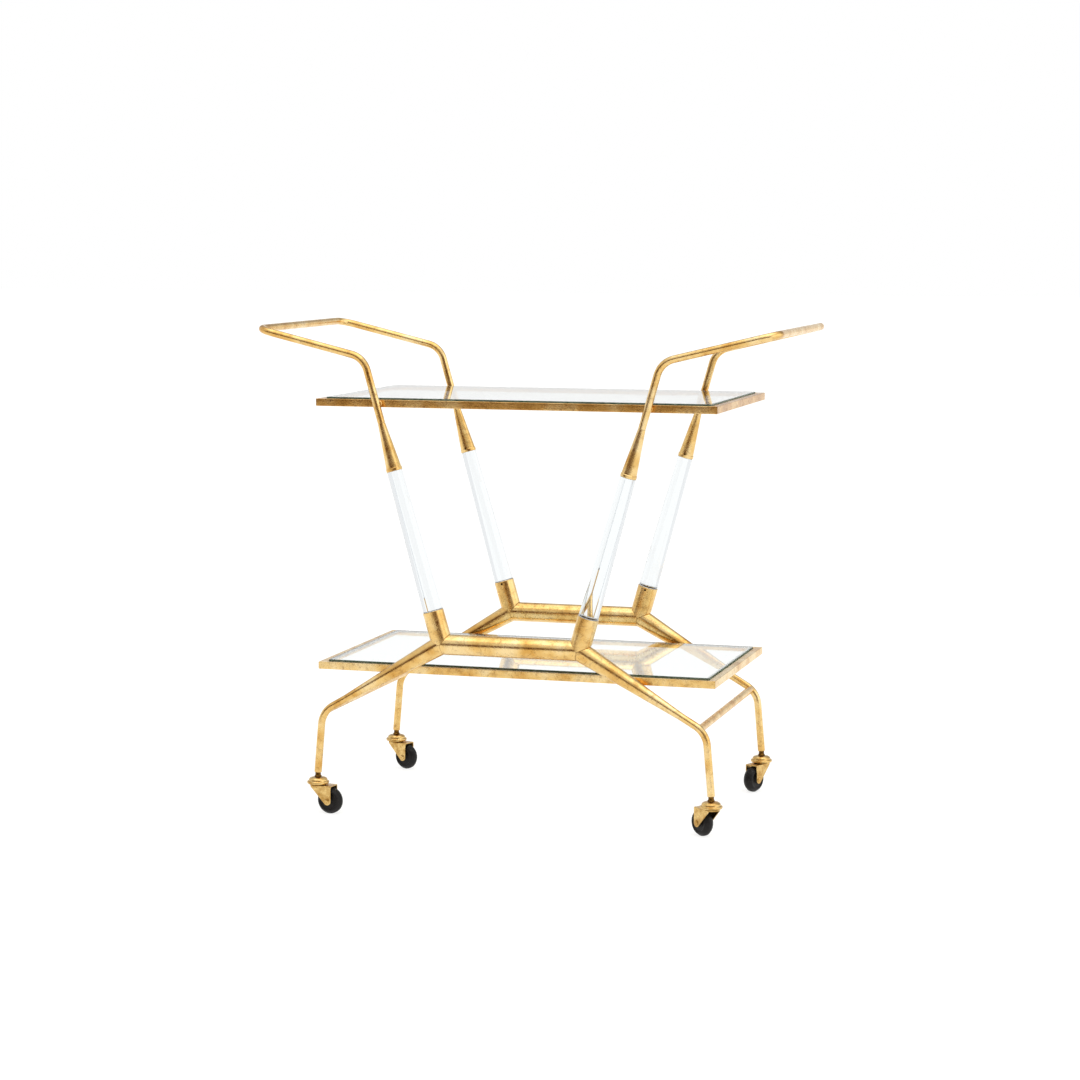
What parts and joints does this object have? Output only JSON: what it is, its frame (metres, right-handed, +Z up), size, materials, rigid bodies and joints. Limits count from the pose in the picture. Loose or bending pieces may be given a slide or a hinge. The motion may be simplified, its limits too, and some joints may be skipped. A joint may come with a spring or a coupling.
{
  "type": "bar cart on wheels",
  "caption": "Serving cart with gilt steel side frames, clear acrylic struts, glass shelves, a bent-rod push handle at each end and swivel castors.",
  "frame": {"origin": "on the floor, under the middle of the cart", "axes": "+X along the cart towards its right handle, -Y towards its front long side, +Z up"},
  "size_m": [0.9124, 0.44, 0.8386],
  "materials": {
    "gilt_steel": "gold leaf over steel, antiqued with brown wear",
    "acrylic": "clear, polished",
    "glass": "clear float glass with greenish polished edges",
    "clear_strip": "clear soft strip",
    "dark_bronze": "dark bronze plate",
    "castor_brass": "polished brass plate",
    "wheel_rubber": "black hard rubber, satin"
  },
  "bodies": {
    "frame": {"acrylic_rod_back_left": "acrylic", "acrylic_rod_back_right": "acrylic", "acrylic_rod_front_left": "acrylic", "acrylic_rod_front_right": "acrylic", "base_bar_back": "gilt_steel", "base_bar_front": "gilt_steel", "castor_back_left_cap": "castor_brass", "castor_back_left_race": "dark_bronze", "castor_back_left_stem": "dark_bronze", "castor_back_right_cap": "castor_brass", "castor_back_right_race": "dark_bronze", "castor_back_right_stem": "dark_bronze", "castor_front_left_cap": "castor_brass", "castor_front_left_race": "dark_bronze", "castor_front_left_stem": "dark_bronze", "castor_front_right_cap": "castor_brass", "castor_front_right_race": "dark_bronze", "castor_front_right_stem": "dark_bronze", "ferrule_back_left": "gilt_steel", "ferrule_back_right": "gilt_steel", "ferrule_front_left": "gilt_steel", "ferrule_front_right": "gilt_steel", "handle_left": "gilt_steel", "handle_right": "gilt_steel", "leg_back_left": "gilt_steel", "leg_back_right": "gilt_steel", "leg_front_left": "gilt_steel", "leg_front_right": "gilt_steel", "lower_glass": "glass", "lower_glass_seat": "clear_strip", "lower_rail_back": "gilt_steel", "lower_rail_front": "gilt_steel", "lower_rail_left": "gilt_steel", "lower_rail_right": "gilt_steel", "socket_back_left": "gilt_steel", "socket_back_right": "gilt_steel", "socket_front_left": "gilt_steel", "socket_front_right": "gilt_steel", "stretcher_left": "gilt_steel", "stretcher_right": "gilt_steel", "upper_glass": "glass", "upper_glass_seat": "clear_strip", "upper_rail_back": "gilt_steel", "upper_rail_front": "gilt_steel", "upper_rail_left": "gilt_steel", "upper_rail_right": "gilt_steel"},
    "castor_front_left_swivel": {"castor_front_left_fork": "castor_brass", "castor_front_left_axle": "castor_brass"},
    "castor_front_left_roller": {"castor_front_left_wheel": "wheel_rubber"},
    "castor_front_right_swivel": {"castor_front_right_fork": "castor_brass", "castor_front_right_axle": "castor_brass"},
    "castor_front_right_roller": {"castor_front_right_wheel": "wheel_rubber"},
    "castor_back_left_swivel": {"castor_back_left_fork": "castor_brass", "castor_back_left_axle": "castor_brass"},
    "castor_back_left_roller": {"castor_back_left_wheel": "wheel_rubber"},
    "castor_back_right_swivel": {"castor_back_right_fork": "castor_brass", "castor_back_right_axle": "castor_brass"},
    "castor_back_right_roller": {"castor_back_right_wheel": "wheel_rubber"}
  },
  "joints": [
    {"name": "castor_front_left_swivel_turn", "type": "hinge", "parent": "frame", "child": "castor_front_left_swivel", "pos_m": [-0.3476, -0.2, 0.0495], "axis": [0, 0, 1], "continuous": true},
    {"name": "castor_front_left_wheel_spin", "type": "hinge", "parent": "castor_front_left_swivel", "child": "castor_front_left_roller", "pos_m": [-0.32413, -0.2033, 0.02311], "axis": [0.1392, 0.9903, 0], "continuous": true},
    {"name": "castor_front_right_swivel_turn", "type": "hinge", "parent": "frame", "child": "castor_front_right_swivel", "pos_m": [0.3476, -0.2, 0.0495], "axis": [0, 0, 1], "continuous": true},
    {"name": "castor_front_right_wheel_spin", "type": "hinge", "parent": "castor_front_right_swivel", "child": "castor_front_right_roller", "pos_m": [0.32944, -0.18477, 0.02311], "axis": [-0.6428, -0.766, 0], "continuous": true},
    {"name": "castor_back_left_swivel_turn", "type": "hinge", "parent": "frame", "child": "castor_back_left_swivel", "pos_m": [-0.3476, 0.2, 0.0495], "axis": [0, 0, 1], "continuous": true},
    {"name": "castor_back_left_wheel_spin", "type": "hinge", "parent": "castor_back_left_swivel", "child": "castor_back_left_roller", "pos_m": [-0.32533, 0.19189, 0.02311], "axis": [0.342, 0.9397, 0], "continuous": true},
    {"name": "castor_back_right_swivel_turn", "type": "hinge", "parent": "frame", "child": "castor_back_right_swivel", "pos_m": [0.3476, 0.2, 0.0495], "axis": [0, 0, 1], "continuous": true},
    {"name": "castor_back_right_wheel_spin", "type": "hinge", "parent": "castor_back_right_swivel", "child": "castor_back_right_roller", "pos_m": [0.33834, 0.17818, 0.02311], "axis": [0.9205, -0.3907, 0], "continuous": true}
  ]
}
